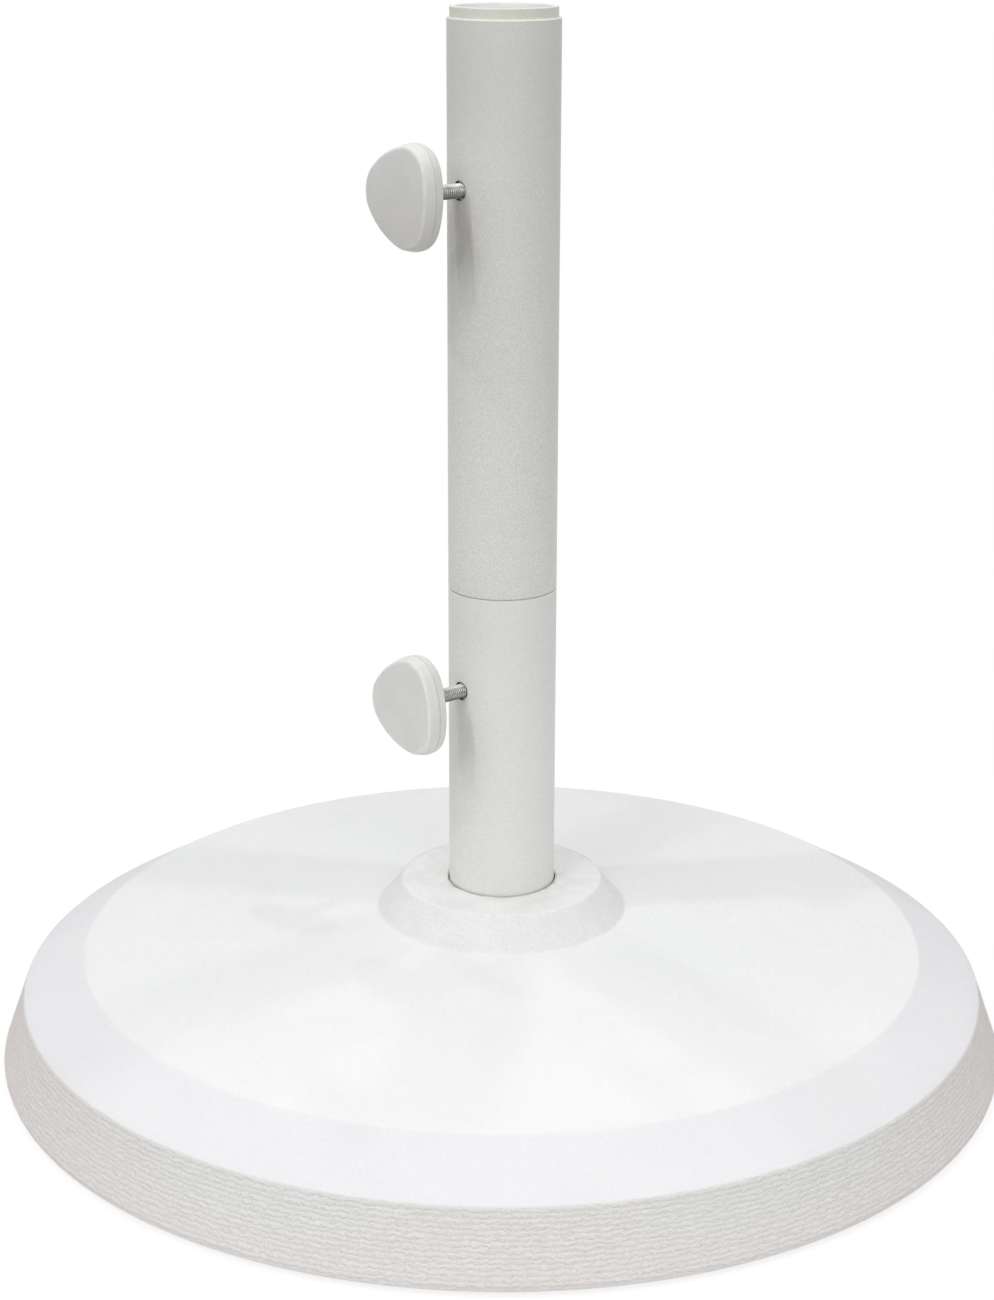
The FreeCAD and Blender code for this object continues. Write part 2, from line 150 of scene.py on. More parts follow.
# Looked at, the floor keeps the shadow near the base and turns plain white further out. To
# the light that it throws back on the base, it is pale near by and dark far away.
floor_reach = 30.0
floor_near = 0.35
shadow_end = 0.9
shadow_share = 0.26
floor_own_white = 0.78
bounce_end = 1.1
near_bounce = 0.80
far_bounce = 0.06
floor_material, add = new_material("studio_floor")
place = add("ShaderNodeTexCoord").outputs["Object"]
away = add("ShaderNodeVectorMath", {0: place}, operation="LENGTH").outputs["Value"]
near = add("ShaderNodeMapRange", {"Value": away, "From Min": floor_near, "From Max": shadow_end,
                                  "To Min": 1.0, "To Max": 0.0}).outputs[0]
bounce = add("ShaderNodeMapRange", {"Value": away, "From Min": floor_near, "From Max": bounce_end,
                                    "To Min": near_bounce, "To Max": far_bounce}).outputs[0]
plain = add("ShaderNodeBsdfDiffuse", {"Color": bounce})
shaded = add("ShaderNodeBsdfDiffuse", {"Color": (shadow_share, shadow_share, shadow_share, 1)})
lit = add("ShaderNodeEmission", {"Color": plain_white, "Strength": floor_own_white})
direct = add("ShaderNodeAddShader", {0: shaded.outputs[0], 1: lit.outputs[0]})
white = add("ShaderNodeEmission", {"Color": plain_white, "Strength": 1.0})
fading = add("ShaderNodeMixShader", {0: near, 1: white.outputs[0], 2: direct.outputs[0]})
mixed = add("ShaderNodeMixShader", {0: seen_directly(add), 1: plain.outputs[0], 2: fading.outputs[0]})
add("ShaderNodeOutputMaterial", {"Surface": mixed.outputs[0]})

floor = bpy.data.objects.new("studio_floor", bpy.data.meshes.new("studio_floor"))
floor.data.from_pydata([(-floor_reach, -floor_reach, 0), (floor_reach, -floor_reach, 0),
                        (floor_reach, floor_reach, 0), (-floor_reach, floor_reach, 0)], [], [(0, 1, 2, 3)])
floor.data.materials.append(floor_material)
scene.collection.objects.link(floor)

# ----------------------------------------------------------------------- concrete plate
# A plate cast upside down in a mould and painted white: a steep rim with the rough weave
# of the mould's lining, a wide bevel, a shallow cone and a trowelled collar round the
# socket that the tube stands in.
foot_r = 0.2885
rim_r = 0.274
rim_z = 0.042
dome_r = 0.239
dome_z = 0.062
collar_foot_r = 0.0715
collar_foot_z = 0.080
collar_top_r = 0.057
collar_top_z = 0.098
socket_r = 0.0303
socket_mouth_r = 0.0306
socket_floor_z = 0.036
bolt_hole_r = 0.007
recess_r = 0.034
recess_z = 0.018
relief_r = 0.236
relief_z = 0.007
underside_z = 0.002
plate_segments = 840
arc_step_degrees = 12


def rounded_outline(corners):
    """Closed (radius, height) outline. Each corner gives its place, the radius of its arc,
    the spacing of the points on the run that follows it, and that run's finish."""
    count = len(corners)
    spots = [Vector(c[:2]) for c in corners]
    runs = []
    for i, (_, _, radius, _, _) in enumerate(corners):
        back = (spots[i - 1] - spots[i]).normalized()
        on = (spots[(i + 1) % count] - spots[i]).normalized()
        half = back.angle(on) / 2
        reach = radius / math.tan(half)
        runs.append((spots[i] + back * reach, spots[i] + on * reach, back, on, half))
    points, finishes = [], []
    for i, (_, _, radius, spacing, finish) in enumerate(corners):
        start, end, back, on, half = runs[i]
        if radius:
            centre = spots[i] + (back + on).normalized() * (radius / math.sin(half))
            sweep = math.pi - 2 * half
            steps = max(3, round(math.degrees(sweep) / arc_step_degrees))
            turn = math.copysign(1, back.cross(on))
            arm = start - centre
            for k in range(steps + 1):
                points.append(centre + Matrix.Rotation(-turn * sweep * k / steps, 2) @ arm)
                finishes.append(corners[i - 1][4] if k <= steps / 2 else finish)
        else:
            points.append(spots[i])
            finishes.append(finish)
        following = runs[(i + 1) % count][0]
        pieces = max(1, round((following - end).length / spacing))
        for k in range(1, pieces):
            points.append(end.lerp(following, k / pieces))
            finishes.append(finish)
    return np.array([p[:] for p in points]), finishes


def turned_mesh(name, outline, segments, offsets=None):
    """Closed ring surface: the outline turned about the Z axis, with optional offsets."""
    turns = np.arange(segments) * (2 * math.pi / segments)
    around = np.repeat(outline[None, :, :], segments, axis=0)
    if offsets is not None:
        tangent = np.roll(outline, -1, axis=0) - np.roll(outline, 1, axis=0)
        tangent /= np.linalg.norm(tangent, axis=1, keepdims=True)
        outward = np.stack([tangent[:, 1], -tangent[:, 0]], axis=1)
        around = around + outward[None, :, :] * offsets[:, :, None]
    places = np.stack([around[:, :, 0] * np.cos(turns)[:, None], around[:, :, 0] * np.sin(turns)[:, None],
                       around[:, :, 1]], axis=2).reshape(-1, 3)
    rows = len(outline)
    here = np.arange(segments)[:, None] * rows + np.arange(rows)[None, :]
    there = np.roll(here, -1, axis=0)
    quads = np.stack([here, there, np.roll(there, -1, axis=1), np.roll(here, -1, axis=1)], axis=2)
    mesh = bpy.data.meshes.new(name)
    mesh.from_pydata(places.tolist(), [], quads.reshape(-1, 4).tolist())
    mesh.validate()
    shape = bmesh.new()
    shape.from_mesh(mesh)
    bmesh.ops.recalc_face_normals(shape, faces=shape.faces)
    shape.to_mesh(mesh)
    shape.free()
    mesh.shade_smooth()
    return mesh


def place_piece(name, mesh, material, body, stands_for):
    """Puts a finished mesh in the scene, riding on its body in place of its CAD node."""
    piece = bpy.data.objects.new(name, mesh)
    mesh.materials.clear()
    mesh.materials.append(material)
    scene.collection.objects.link(piece)
    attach(piece, body)
    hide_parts(stands_for)


# Each cast finish has a depth and layers of noise: the scale round the plate, the scale up
# it, and the layer's weight. The rim has level ridges with small knots, the collar trowel
# lumps, ripples and grit, and the top long waves under a fine grain.
finish_depths = {"rim": 0.0006, "collar": 0.00042, "top": 0.00006}
finish_layers = {
    "rim": ((140, 430, 0.6), (360, 700, 0.4)),
    "collar": ((55, 55, 0.5), (170, 170, 0.3), (420, 420, 0.2)),
    "top": ((260, 260, 0.7), (9, 9, 1.6)),
}
plain_depth = 0.00003


def cast_relief(finish, place):
    """How far a point sinks below the mould's own surface; nothing rises above it."""
    if finish == "plain":
        return -plain_depth
    sunk = 0.0
    for across, upward, weight in finish_layers[finish]:
        sunk += weight * (noise.noise(Vector((place.x * across, place.y * across, place.z * upward))) - 1)
    return finish_depths[finish] * sunk / 2


plate_outline, plate_finish = rounded_outline([
    (bolt_hole_r, recess_z, 0, 0.012, "plain"),
    (recess_r - 0.002, recess_z, 0.002, 0.004, "plain"),
    (recess_r, relief_z, 0.001, 0.05, "plain"),
    (relief_r - 0.004, relief_z, 0.004, 0.01, "plain"),
    (relief_r, underside_z, 0.001, 0.012, "plain"),
    (foot_r, underside_z, 0.004, 0.0008, "rim"),
    (rim_r, rim_z, 0.003, 0.006, "top"),
    (dome_r, dome_z, 0.003, 0.013, "top"),
    (collar_foot_r, collar_foot_z, 0.003, 0.0022, "collar"),
    (collar_top_r, collar_top_z, 0.0012, 0.0022, "collar"),
    (socket_mouth_r, collar_top_z, 0.0005, 0.012, "plain"),
    (socket_r, socket_floor_z, 0, 0.012, "plain"),
    (bolt_hole_r, socket_floor_z, 0, 0.01, "plain"),
])

turns = np.arange(plate_segments) * (2 * math.pi / plate_segments)
plate_offsets = np.zeros((plate_segments, len(plate_outline)))
for column, ((radius, height), finish) in enumerate(zip(plate_outline, plate_finish)):
    for row, turn in enumerate(turns):
        spot = Vector((radius * math.cos(turn), radius * math.sin(turn), height))
        plate_offsets[row, column] = cast_relief(finish, spot)
# Each point is eased towards its two neighbours on the outline, so that finishes meet softly.
beside = np.roll(plate_offsets, 1, axis=1) + np.roll(plate_offsets, -1, axis=1)
plate_offsets = (2 * plate_offsets + beside) / 4


def mark_points(mesh, label, values):
    """Keeps one value for each vertex, for a material to read."""
    mesh.attributes.new(label, "FLOAT", "POINT").data.foreach_set("value", values.astype(np.float32))


plate_mesh = turned_mesh("concrete_plate", plate_outline, plate_segments, plate_offsets)
for finish in ("rim", "collar"):
    share = np.array([1.0 if f == finish else 0.0 for f in plate_finish])
    share = (np.roll(share, 1) + share + np.roll(share, -1)) / 3
    mark_points(plate_mesh, finish + "_finish", np.tile(share, plate_segments))


def node_tools(add):
    """Short forms for the nodes that the finishes share."""
    where = add("ShaderNodeTexCoord").outputs["Object"]

    def grain(scale, detail=4.0, roughness=0.6, vector=None):
        return add("ShaderNodeTexNoise", {"Vector": vector or where, "Scale": scale, "Detail": detail,
                                          "Roughness": roughness}).outputs["Fac"]

    def stretch(x, y, z):
        return add("ShaderNodeMapping", {"Vector": where, "Scale": (x, y, z)}).outputs[0]

    def level(value, low, high, to_low, to_high):
        return add("ShaderNodeMapRange", {"Value": value, "From Min": low, "From Max": high,
                                          "To Min": to_low, "To Max": to_high}).outputs[0]

    def sum_of(a, b, operation="ADD"):
        return add("ShaderNodeMath", {0: a, 1: b}, operation=operation).outputs[0]

    def opaque(colour):
        return colour if isinstance(colour, bpy.types.NodeSocket) else (*colour, 1)

    def blend(share, first, second):
        return add("ShaderNodeMix", {0: share, 6: opaque(first), 7: opaque(second)},
                   data_type="RGBA").outputs[2]

    def bump(height, distance, strength=1.0, under=None):
        wires = {"Height": height, "Distance": distance, "Strength": strength}
        if under:
            wires["Normal"] = under
        return add("ShaderNodeBump", wires).outputs[0]

    return where, grain, stretch, level, sum_of, blend, bump


def mark(add, label):
    """The value that each vertex keeps under a label."""
    return add("ShaderNodeAttribute", attribute_name=label).outputs["Fac"]


def off_axis(add, where):
    """Distance from the upright axis of the tubes."""
    spread = add("ShaderNodeVectorMath", {0: where, 1: (1, 1, 0)}, operation="MULTIPLY").outputs[0]
    return add("ShaderNodeVectorMath", {0: spread}, operation="LENGTH").outputs["Value"]


def reach_along(add, where, direction):
    """Distance from the origin along a level direction."""
    return add("ShaderNodeVectorMath", {0: where, 1: direction}, operation="DOT_PRODUCT").outputs["Value"]


# The plate is painted whiter on the side that faces the camera, as painted light, so this angle is
# the camera's azimuth too; a quarter turn from there on either hand the rim is painted darker and
# pinker, as painted shade. The angle is written again and not taken from the camera, so that the
# paint stays on the plate if the camera moves.
lit_side = math.radians(49.8)
towards_lit_side = Vector((math.sin(lit_side), -math.cos(lit_side), 0))
across_lit_side = Vector((math.cos(lit_side), math.sin(lit_side), 0))
weave_rows = 122
dome_dull = (0.91, 0.915, 0.922)
dome_white = (0.93, 0.93, 0.935)
dome_lit_white = (0.97, 0.97, 0.975)
wiped_grey = (0.66, 0.66, 0.67)
bevel_dull = (0.87, 0.873, 0.895)
bevel_white = (0.895, 0.897, 0.91)
rim_cool = (0.85, 0.853, 0.838)
rim_warm = (0.855, 0.843, 0.822)
rim_splashed = (0.85, 0.79, 0.765)
rim_side_shade = (0.85, 0.785, 0.76)
rim_dirt = (0.66, 0.63, 0.60)
rim_speck = (0.60, 0.57, 0.54)
rim_crest_highlight = (0.96, 0.96, 0.95)
collar_dull = (0.895, 0.906, 0.90)
collar_white = (0.925, 0.933, 0.926)
collar_scuff = (0.66, 0.66, 0.64)
collar_top_lit_white = (0.96, 0.96, 0.95)
collar_edge_highlight = (0.985, 0.985, 0.98)
far_edge_grey = (0.55, 0.56, 0.56)
pit_shade_grey = (0.55, 0.55, 0.55)
damp_tan = (0.66, 0.61, 0.52)
rust_brown = (0.42, 0.31, 0.20)
gap_shade_black = (0.035, 0.03, 0.022)


def painted_concrete():
    """White paint on cast concrete: dome, bevel, woven rim and trowelled collar in turn."""
    material, add = new_material("painted_concrete")
    where, grain, stretch, level, sum_of, blend, bump = node_tools(add)
    rim = mark(add, "rim_finish")
    collar = mark(add, "collar_finish")
    height = add("ShaderNodeSeparateXYZ", {0: where}).outputs["Z"]
    from_axis = off_axis(add, where)
    forward = reach_along(add, where, towards_lit_side)
    sideways = reach_along(add, where, across_lit_side)

    top = blend(level(grain(6), 0.4, 0.6, 0, 1), dome_dull, dome_white)
    # Painted light: the dome is whiter towards the side that faces the camera.
    top = blend(level(forward, 0.07, dome_r - 0.04, 0, 1), top, dome_lit_white)
    top = blend(level(grain(13, 2, 0.4), 0.54, 0.60, 0.0, 0.05), top, wiped_grey)
    bevel = blend(level(grain(9), 0.4, 0.6, 0, 1), bevel_dull, bevel_white)
    top = blend(level(from_axis, dome_r - 0.001, dome_r + 0.001, 0, 1), top, bevel)

    rows = add("ShaderNodeTexWave", {"Vector": where, "Scale": weave_rows, "Distortion": 6.0, "Detail": 3.0,
                                     "Detail Scale": 1.8, "Detail Roughness": 0.65},
               bands_direction="Z").outputs["Fac"]
    frayed = level(grain(1, 4, 0.7, stretch(430, 430, 560)), 0.35, 0.65, 0.0, 1.0)
    thread = sum_of(rows, frayed, "MULTIPLY")
    side = blend(level(grain(7, 3), 0.42, 0.6, 0, 1), rim_cool, rim_warm)
    side = blend(level(height, underside_z + 0.004, rim_z - 0.014, 0.6, 0.0), side, rim_splashed)
    # Painted shade: the rim is darker and pinker a quarter turn from the front on either hand.
    rim_side_shading = level(sum_of(sideways, sideways, "MULTIPLY"), (0.6 * foot_r) ** 2, foot_r ** 2, 0.0, 0.8)
    side = blend(rim_side_shading, side, rim_side_shade)
    smears = level(grain(1, 5, 0.7, stretch(200, 200, 620)), 0.40, 0.78, 0.0, 0.30)
    side = blend(smears, side, rim_dirt)
    side = blend(level(grain(1100, 2, 0.6), 0.42, 0.58, 0.0, 0.12), side, rim_speck)
    # Painted highlight: the crests of the woven rows are lighter.
    side = blend(level(thread, 0.40, 0.75, 0.0, 0.65), side, rim_crest_highlight)

    ring = blend(level(grain(45), 0.4, 0.62, 0, 1), collar_dull, collar_white)
    scuff = level(grain(1, 6, 0.75, stretch(120, 60, 240)), 0.60, 0.72, 0.0, 0.22)
    ring = blend(scuff, ring, collar_scuff)
    # Chalky paint and painted light: the collar's flat top is whiter in patches.
    chalky_and_lit = level(grain(110, 3), 0.4, 0.6, 0.2, 1.0)
    ring = blend(level(from_axis, collar_top_r - 0.001, collar_top_r, chalky_and_lit, 0.0), ring, collar_top_lit_white)
    off_edge = add("ShaderNodeMath", {0: sum_of(from_axis, collar_top_r - 0.0005, "SUBTRACT")},
                   operation="ABSOLUTE").outputs[0]
    # Wear and painted highlight: a bright line along the collar's top edge.
    worn_highlight = sum_of(level(off_edge, 0.0004, 0.0014, 1.0, 0.0), level(grain(40, 3), 0.35, 0.65, 0.2, 1.0),
                    "MULTIPLY")
    ring = blend(worn_highlight, ring, collar_edge_highlight)
    far_edge = sum_of(level(off_edge, 0.0003, 0.0008, 0.5, 0.0), level(forward, -0.03, 0.0, 1.0, 0.0),
                      "MULTIPLY")
    ring = blend(far_edge, ring, far_edge_grey)

    # Painted shade: grey specks in the pits, heavier on the collar and towards the dome's back.
    dome_pit_shade = level(forward, -0.05, 0.15, 0.15, 0.09)
    pits = level(grain(850, 2, 0.6), 0.42, 0.62, 0.0, level(collar, 0, 1, dome_pit_shade, 0.15))
    colour = blend(rim, blend(pits, blend(collar, top, ring), pit_shade_grey), side)

    wet = sum_of(from_axis, level(grain(75, 3), 0.3, 0.7, -0.0012, 0.0012))
    stain = level(wet, socket_mouth_r, socket_mouth_r + 0.0022, 0.8, 0.0)
    rusty = level(grain(30, 2), 0.45, 0.62, 0.0, 1.0)
    colour = blend(stain, colour, blend(rusty, damp_tan, rust_brown))
    # Painted shade: near black in the gap round the tube's foot.
    gap_shade = sum_of(level(from_axis, socket_mouth_r + 0.0003, socket_mouth_r + 0.0006, 1.0, 0.0),
                    level(height, collar_top_z - 0.0006, collar_top_z - 0.0001, 1.0, 0.0), "MULTIPLY")
    gap_shade = sum_of(gap_shade, level(grain(45, 2), 0.40, 0.58, 0.35, 1.0), "MULTIPLY")
    colour = blend(gap_shade, colour, gap_shade_black)

    fine = bump(grain(900, 3), 0.0002, 0.35)
    weave = bump(thread, 0.0007, level(rim, 0, 1, 0, 0.85), fine)
    plaster = bump(grain(600, 4, 0.7), 0.0007, level(collar, 0, 1, 0.28, 1.0), weave)
    shader = add("ShaderNodeBsdfPrincipled", {"Base Color": colour, "Normal": plaster,
                                              "Roughness": level(grain(200), 0.3, 0.7, 0.72, 0.9),
                                              "Specular IOR Level": 0.2})
    add("ShaderNodeOutputMaterial", {"Surface": shader.outputs[0]})
    return material


place_piece("concrete_plate", plate_mesh, painted_concrete(), "base", "concrete_base")

# --------------------------------------------------------------------------- tube lengths
# Two lengths of 60 x 1.5 mm steel tube, powder coated a warm light grey. Each is cut
# square with its ends broken, and has one plain hole that its clamp screw passes through.
tube_r = 0.030
tube_bore_r = 0.0285
tube_edge = 0.0006
seam_edge = 0.0003
mouth_edge = 0.0008
seam_z = 0.272
flange_t = 0.001
tube_top_z = 0.578
lower_clamp_z = 0.2163
upper_clamp_z = 0.491
upper_turn = math.radians(-1.0)
screw_hole_r = 0.0049
screw_hole_flare = 0.00012
streak_length = 0.065
streak_r = 0.0070
streak_lean = 0.007
tube_segments = 192
tube_step = 0.02
hole_zone = 0.012
hole_zone_step = 0.0015
drill_start = 0.020
drill_sides = 64
turned_sharp = math.radians(35)


def clamp_matrix(height, turn):
    """Lays what is built along +Z out along a clamp's own axis."""
    return (Matrix.Translation((0, 0, height)) @ Matrix.Rotation(turn, 4, "Z")
            @ Matrix.Rotation(math.radians(90), 4, "X"))


def settled_mesh(piece):
    """Plain mesh of an object with its modifiers applied."""
    bpy.context.view_layer.update()
    return bpy.data.meshes.new_from_object(piece.evaluated_get(bpy.context.evaluated_depsgraph_get()))


def tube_mesh(name, low, low_edge, high, high_edge, hole_z, hole_turn):
    """Length of tube with broken ends, drilled square for its clamp screw, with a small
    flare where the drill went in."""
    zone_low = hole_z - hole_zone
    zone_high = hole_z + hole_zone
    outline, _ = rounded_outline([
        (tube_bore_r, low, seam_edge, tube_step, "wall"),
        (tube_r, low, low_edge, tube_step, "wall"),
        (tube_r, zone_low, 0, hole_zone_step, "wall"),
        (tube_r, zone_high, 0, tube_step, "wall"),
        (tube_r, high, high_edge, tube_step, "wall"),
        (tube_bore_r, high, seam_edge, tube_step, "wall"),
        (tube_bore_r, zone_high, 0, hole_zone_step, "wall"),
        (tube_bore_r, zone_low, 0, tube_step, "wall"),
    ])
    wall = bpy.data.objects.new(name, turned_mesh(name, outline, tube_segments))
    scene.collection.objects.link(wall)
    drill = bmesh.new()
    rings = []
    for reach, radius in ((drill_start, screw_hole_r), (tube_r - 2 * screw_hole_flare, screw_hole_r),
                          (tube_r + screw_hole_flare, screw_hole_r + 1.5 * screw_hole_flare)):
        spots = [2 * math.pi * k / drill_sides for k in range(drill_sides)]
        rings.append([drill.verts.new((radius * math.cos(a), radius * math.sin(a), reach)) for a in spots])
    for first, second in zip(rings, rings[1:]):
        for k in range(drill_sides):
            after = (k + 1) % drill_sides
            drill.faces.new((first[k], first[after], second[after], second[k]))
    drill.faces.new(rings[0][::-1])
    drill.faces.new(rings[-1])
    bmesh.ops.recalc_face_normals(drill, faces=drill.faces)
    bmesh.ops.transform(drill, matrix=clamp_matrix(hole_z, hole_turn), verts=drill.verts)
    drill_mesh = bpy.data.meshes.new("drill")
    drill.to_mesh(drill_mesh)
    drill.free()
    cutter = bpy.data.objects.new("drill", drill_mesh)
    scene.collection.objects.link(cutter)
    cut = wall.modifiers.new("drilled", "BOOLEAN")
    cut.operation = "DIFFERENCE"
    cut.solver = "EXACT"
    cut.object = cutter
    drilled = settled_mesh(wall)
    for helper in (wall, cutter):
        bpy.data.objects.remove(helper)
    drilled.name = name
    drilled.shade_smooth()
    drilled.set_sharp_from_angle(angle=turned_sharp)
    return drilled


coat_glint = (0.97, 0.97, 0.95)
mouth_highlight_white = (0.95, 0.95, 0.93)
streak_rust_and_shade = (0.42, 0.35, 0.26)
hole_shadow = (0.02, 0.018, 0.015)


def powder_coat(name, dark, light, hole_z, hole_turn, rust_and_shadow_strength):
    """Pebbled grey coat with fine glints, darker towards the upper tube's top as painted shade,
    with a painted highlight at the mouth, a streak down from the screw's hole that is rust
    stain and painted shadow of the knob, and painted shade on the hole's raw edge and wall."""
    material, add = new_material(name)
    where, grain, stretch, level, sum_of, blend, bump = node_tools(add)
    coat = blend(level(grain(1350, 1, 0.5), 0.40, 0.60, 0, 1), dark, light)
    cloud = level(grain(1, 3, 0.5, stretch(14, 14, 9)), 0.35, 0.65, 0.0, 0.18)
    coat = blend(cloud, coat, tuple(0.9 * c for c in dark))
    glints = level(grain(950, 2, 0.5), 0.58, 0.68, 0.0, 0.35)
    coat = blend(glints, coat, coat_glint)
    drop = add("ShaderNodeSeparateXYZ", {0: where}).outputs["Z"]
    # Painted shade: the coat darkens from a little above the seam up to the upper tube's top.
    coat = blend(level(drop, seam_z + 0.09, tube_top_z, 0.0, 0.6), coat, dark)
    # Painted highlight: a lighter band just under the tube's top edge.
    mouth = level(drop, tube_top_z - mouth_edge, tube_top_z - 0.7 * mouth_edge, 0.0, 0.9)
    coat = blend(mouth, coat, mouth_highlight_white)
    outward = (math.sin(hole_turn), -math.cos(hole_turn), 0)
    across = (math.cos(hole_turn), math.sin(hole_turn), 0)
    side = reach_along(add, where, across)
    front = reach_along(add, where, outward)
    # Rust stain and painted shadow of the knob: a brown streak runs down from the screw's hole.
    lean = level(drop, hole_z - streak_length, hole_z, -streak_lean, 0.0)
    sway = level(grain(1, 3, 0.6, stretch(90, 90, 16)), 0.3, 0.7, -0.002, 0.002)
    wander = sum_of(sum_of(side, lean), sway)
    narrow = level(sum_of(wander, wander, "MULTIPLY"), 0.5 * streak_r ** 2, streak_r ** 2, 1.0, 0.0)
    run = level(drop, hole_z - streak_length, hole_z - 0.5 * streak_length, 0.0, 1.0)
    below = level(drop, hole_z - 0.003, hole_z + 0.001, 1.0, 0.0)
    facing_hole = level(front, 0.0, 0.01, 0.0, 1.0)
    streak = sum_of(sum_of(narrow, run, "MULTIPLY"), sum_of(below, facing_hole, "MULTIPLY"), "MULTIPLY")
    broken = level(grain(1, 4, 0.7, stretch(400, 400, 60)), 0.3, 0.65, 0.4 * rust_and_shadow_strength, rust_and_shadow_strength)
    colour = blend(sum_of(streak, broken, "MULTIPLY"), coat, streak_rust_and_shade)
    rise = sum_of(drop, hole_z, "SUBTRACT")
    off_centre = add("ShaderNodeCombineXYZ", {"X": side, "Y": rise}).outputs[0]
    from_hole = add("ShaderNodeVectorMath", {0: off_centre}, operation="LENGTH").outputs["Value"]
    # Painted shade: near black on the hole's wall and in a thin ring round it.
    ragged = sum_of(from_hole, level(grain(900, 2), 0.3, 0.7, -0.0002, 0.0002))
    raw_edge_and_shade = sum_of(level(ragged, screw_hole_r + 0.0001, screw_hole_r + 0.0005, 1.0, 0.0), facing_hole,
                      "MULTIPLY")
    colour = blend(raw_edge_and_shade, colour, hole_shadow)
    peel = bump(grain(1100, 2, 0.5), 0.0002, 0.5)
    shader = add("ShaderNodeBsdfPrincipled", {"Base Color": colour, "Normal": peel,
                                              "Roughness": level(grain(300), 0.3, 0.7, 0.42, 0.55),
                                              "Specular IOR Level": 0.25})
    add("ShaderNodeOutputMaterial", {"Surface": shader.outputs[0]})
    return material


lower_wall = tube_mesh("lower_tube_wall", socket_floor_z, tube_edge, seam_z - flange_t, seam_edge,
                       lower_clamp_z, 0)
# The lower length's coat is a little lighter than the upper's, as painted light.
lower_coat = powder_coat("lower_powder_coat", (0.812, 0.807, 0.782), (0.878, 0.878, 0.862),
                         lower_clamp_z, 0, 0.25)
place_piece("lower_tube_wall", lower_wall, lower_coat, "base", "lower_tube")
upper_wall = tube_mesh("upper_tube_wall", seam_z, seam_edge, tube_top_z, mouth_edge,
                       upper_clamp_z, upper_turn)
upper_coat = powder_coat("upper_powder_coat", (0.755, 0.75, 0.72), (0.892, 0.892, 0.875),
                         upper_clamp_z, upper_turn, 0.4)
place_piece("upper_tube_wall", upper_wall, upper_coat, "upper", "upper_tube")

# --------------------------------------------------------------------- plastic pole guides
# Two round mouldings in ivory plastic, pushed into the tubes: the sleeve that joins the two
# lengths, whose thin flange shows in the seam, and the bush that stands out of the open top.
pole_bore_r = 0.0245
sleeve_r = 0.02842
sleeve_flange_r = 0.0297
sleeve_collar_r = sleeve_r + 0.0003
seam_gap = 0.0005
sleeve_low_z = 0.232
sleeve_high_z = 0.332
bush_low_z = 0.542
bush_high_z = 0.5837
bush_r = tube_bore_r - 0.00002
bush_lip_r = 0.0257
bush_flare_z = 0.5747
guide_step = 0.02
guide_segments = 160
# The bush's inside is lighter than the rest of the ivory, as painted light.
lit_inside_r = 0.0281
lit_inside_ivory = (0.88, 0.885, 0.885)
worn_highlight_white = (0.95, 0.95, 0.94)
seam_grey = (0.34, 0.32, 0.29)
shade_below_grey = (0.65, 0.635, 0.60)


def moulded_plastic(name, light, dark, roughness, peel_scale, peel_depth, inside=None, inside_r=0.0,
                    shaded_below_z=None):
    """Matte moulded plastic with a faint cloud in its colour and a fine skin. A ring inside can
    be painted lighter, as painted light, and what lies just under a height painted darker, as
    painted shade. Marked front edges are painted lighter, for wear and a painted highlight."""
    material, add = new_material(name)
    where, grain, _, level, sum_of, blend, bump = node_tools(add)
    colour = blend(level(grain(60, 4), 0.35, 0.65, 0, 1), dark, light)
    dust = level(grain(1200, 2), 0.42, 0.62, 0.0, 0.24)
    colour = blend(dust, colour, tuple(0.82 * c for c in dark))
    # Wear and painted highlight: marked front edges are lighter.
    worn_highlight = sum_of(mark(add, "worn_and_highlit_edge"), level(grain(140, 3), 0.35, 0.65, 0.2, 0.75), "MULTIPLY")
    colour = blend(worn_highlight, colour, worn_highlight_white)
    dirt = sum_of(mark(add, "seam_dirt"), level(grain(90, 3), 0.3, 0.7, 0.3, 0.9), "MULTIPLY")
    colour = blend(dirt, colour, seam_grey)
    if inside:
        # Painted light: a ring inside is lighter.
        colour = blend(level(off_axis(add, where), inside_r - 0.0005, inside_r, 1.0, 0.0), colour, inside)
    # Painted shade: darker just under a height.
    if shaded_below_z:
        height = add("ShaderNodeSeparateXYZ", {0: where}).outputs["Z"]
        shade_below = sum_of(level(height, shaded_below_z - 0.026, shaded_below_z + 0.012, 0.55, 0.0),
                        level(height, shaded_below_z - 0.05, shaded_below_z - 0.045, 0.0, 1.0), "MULTIPLY")
        colour = blend(shade_below, colour, shade_below_grey)
    skin = bump(grain(peel_scale, 3, 0.5), peel_depth, 0.4)
    shader = add("ShaderNodeBsdfPrincipled", {"Base Color": colour, "Normal": skin,
                                              "Roughness": level(grain(150), 0.3, 0.7, roughness - 0.06,
                                                                 roughness + 0.08),
                                              "Specular IOR Level": 0.45})
    add("ShaderNodeOutputMaterial", {"Surface": shader.outputs[0]})
    return material


ivory = moulded_plastic("ivory_plastic", (0.86, 0.85, 0.765), (0.80, 0.785, 0.69), 0.48, 900, 0.0001,
                        inside=lit_inside_ivory, inside_r=lit_inside_r)

